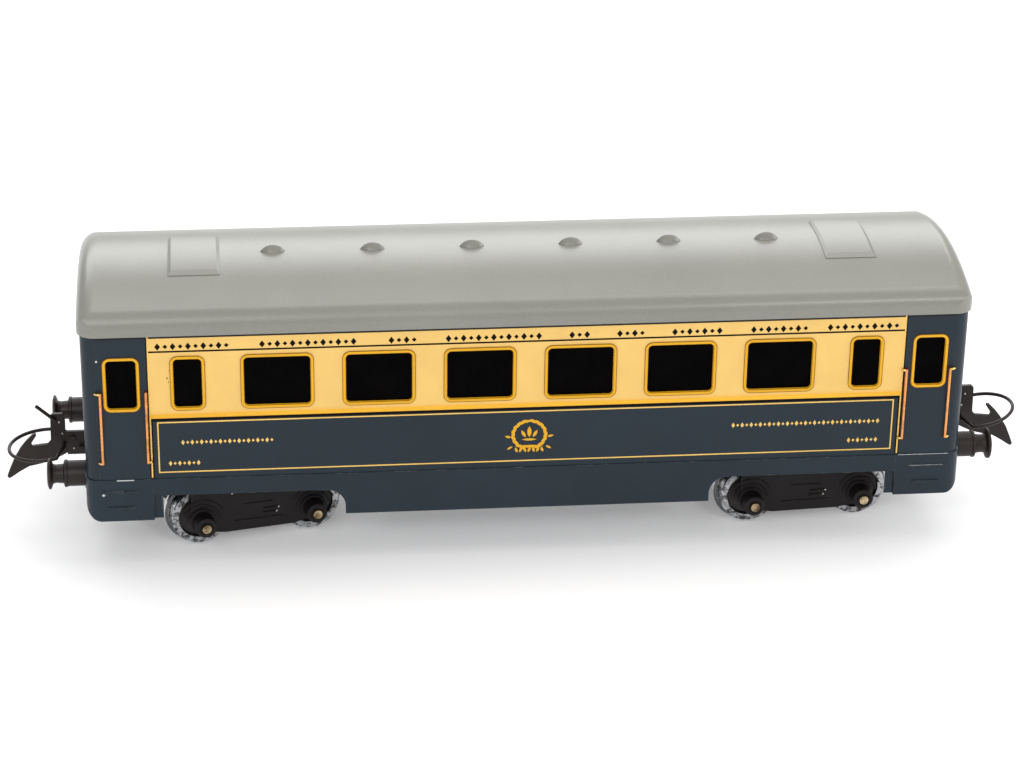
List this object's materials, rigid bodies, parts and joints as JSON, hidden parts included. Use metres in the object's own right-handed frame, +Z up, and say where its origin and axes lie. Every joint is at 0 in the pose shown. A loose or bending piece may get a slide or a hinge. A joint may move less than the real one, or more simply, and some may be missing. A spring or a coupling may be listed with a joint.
{
  "type": "model passenger coach",
  "caption": "Tinplate model saloon coach: windowed body, lift-off arched roof, skirted underframe, swivelling four-wheel bogies, buffers and hook-and-loop couplings.",
  "frame": {"origin": "on the track surface under the centre of the coach", "axes": "+X along the coach towards its right end as seen from the near side, +Y across it to the far side, +Z up"},
  "size_m": [0.341, 0.072, 0.0973],
  "materials": {
    "body_paint": "satin",
    "roof_paint": "satin",
    "glazing": "gloss",
    "handrail": "polished",
    "frame_paint": "satin",
    "blackened_steel": "satin",
    "bright_pin": "satin",
    "bogie_black": "satin",
    "axle_brass": "polished",
    "wheel_nickel": "polished"
  },
  "bodies": {
    "coach_body": {"side_panel_near": "body_paint", "side_panel_far": "body_paint", "end_panel_left": "body_paint", "end_panel_right": "body_paint", "glazing_near": "glazing", "glazing_far": "glazing", "handrails_near": "handrail", "handrails_far": "handrail", "floor_plate": "frame_paint", "side_skirt_near": "frame_paint", "side_skirt_far": "frame_paint", "end_skirt_left": "frame_paint", "end_skirt_right": "frame_paint", "buffer_left_near": "blackened_steel", "buffer_left_far": "blackened_steel", "buffer_right_near": "blackened_steel", "buffer_right_far": "blackened_steel", "bogie_pin_left": "bright_pin", "bogie_pin_right": "bright_pin", "coupling_pin_left": "bright_pin", "coupling_pin_right": "bright_pin"},
    "roof": {"roof_shell": "roof_paint", "roof_hatch_left": "roof_paint", "roof_hatch_right": "roof_paint", "roof_ventilators": "roof_paint"},
    "bogie_left": {"bolster_left": "bogie_black", "side_frame_left_near": "bogie_black", "side_frame_left_far": "bogie_black", "axleboxes_left": "bogie_black"},
    "bogie_right": {"bolster_right": "bogie_black", "side_frame_right_near": "bogie_black", "side_frame_right_far": "bogie_black", "axleboxes_right": "bogie_black"},
    "wheelset_left_outer": {"axle_left_outer": "axle_brass", "wheels_left_outer": "wheel_nickel"},
    "wheelset_left_inner": {"axle_left_inner": "axle_brass", "wheels_left_inner": "wheel_nickel"},
    "wheelset_right_inner": {"axle_right_inner": "axle_brass", "wheels_right_inner": "wheel_nickel"},
    "wheelset_right_outer": {"axle_right_outer": "axle_brass", "wheels_right_outer": "wheel_nickel"},
    "coupling_left": {"drawbar_left": "blackened_steel", "hook_left": "blackened_steel", "hook_rivet_left": "bright_pin", "lift_finger_left": "blackened_steel"},
    "loop_left": {"loop_left": "blackened_steel"},
    "coupling_right": {"drawbar_right": "blackened_steel", "hook_right": "blackened_steel", "hook_rivet_right": "bright_pin"},
    "loop_right": {"loop_right": "blackened_steel"}
  },
  "joints": [
    {"name": "roof_lift", "type": "slide", "parent": "coach_body", "child": "roof", "axis": [0, 0, 1], "range_m": [0, 0.06]},
    {"name": "bogie_left_swivel", "type": "hinge", "parent": "coach_body", "child": "bogie_left", "pos_m": [-0.0928, 0, 0.0238], "axis": [0, 0, 1], "range_deg": [-30, 6]},
    {"name": "bogie_right_swivel", "type": "hinge", "parent": "coach_body", "child": "bogie_right", "pos_m": [0.0928, 0, 0.0238], "axis": [0, 0, 1], "range_deg": [-22, 14]},
    {"name": "wheelset_left_outer_spin", "type": "hinge", "parent": "bogie_left", "child": "wheelset_left_outer", "pos_m": [-0.11099, -0.00387, 0.0113], "axis": [-0.2079, 0.9781, 0], "continuous": true},
    {"name": "wheelset_left_inner_spin", "type": "hinge", "parent": "bogie_left", "child": "wheelset_left_inner", "pos_m": [-0.07461, 0.00387, 0.0113], "axis": [-0.2079, 0.9781, 0], "continuous": true},
    {"name": "wheelset_right_inner_spin", "type": "hinge", "parent": "bogie_right", "child": "wheelset_right_inner", "pos_m": [0.07425, -0.0013, 0.0113], "axis": [-0.0698, 0.9976, 0], "continuous": true},
    {"name": "wheelset_right_outer_spin", "type": "hinge", "parent": "bogie_right", "child": "wheelset_right_outer", "pos_m": [0.11135, 0.0013, 0.0113], "axis": [-0.0698, 0.9976, 0], "continuous": true},
    {"name": "coupling_left_swing", "type": "hinge", "parent": "coach_body", "child": "coupling_left", "pos_m": [-0.133, 0, 0.0272], "axis": [0, 0, 1], "range_deg": [-12, 12]},
    {"name": "loop_left_lift", "type": "hinge", "parent": "coupling_left", "child": "loop_left", "pos_m": [-0.1512, 0, 0.028], "axis": [0, 1, 0], "range_deg": [-11, 104]},
    {"name": "coupling_right_swing", "type": "hinge", "parent": "coach_body", "child": "coupling_right", "pos_m": [0.133, 0, 0.0272], "axis": [0, 0, 1], "range_deg": [-12, 12]},
    {"name": "loop_right_lift", "type": "hinge", "parent": "coupling_right", "child": "loop_right", "pos_m": [0.1512, 0, 0.028], "axis": [0, -1, 0], "range_deg": [-27, 88]}
  ]
}
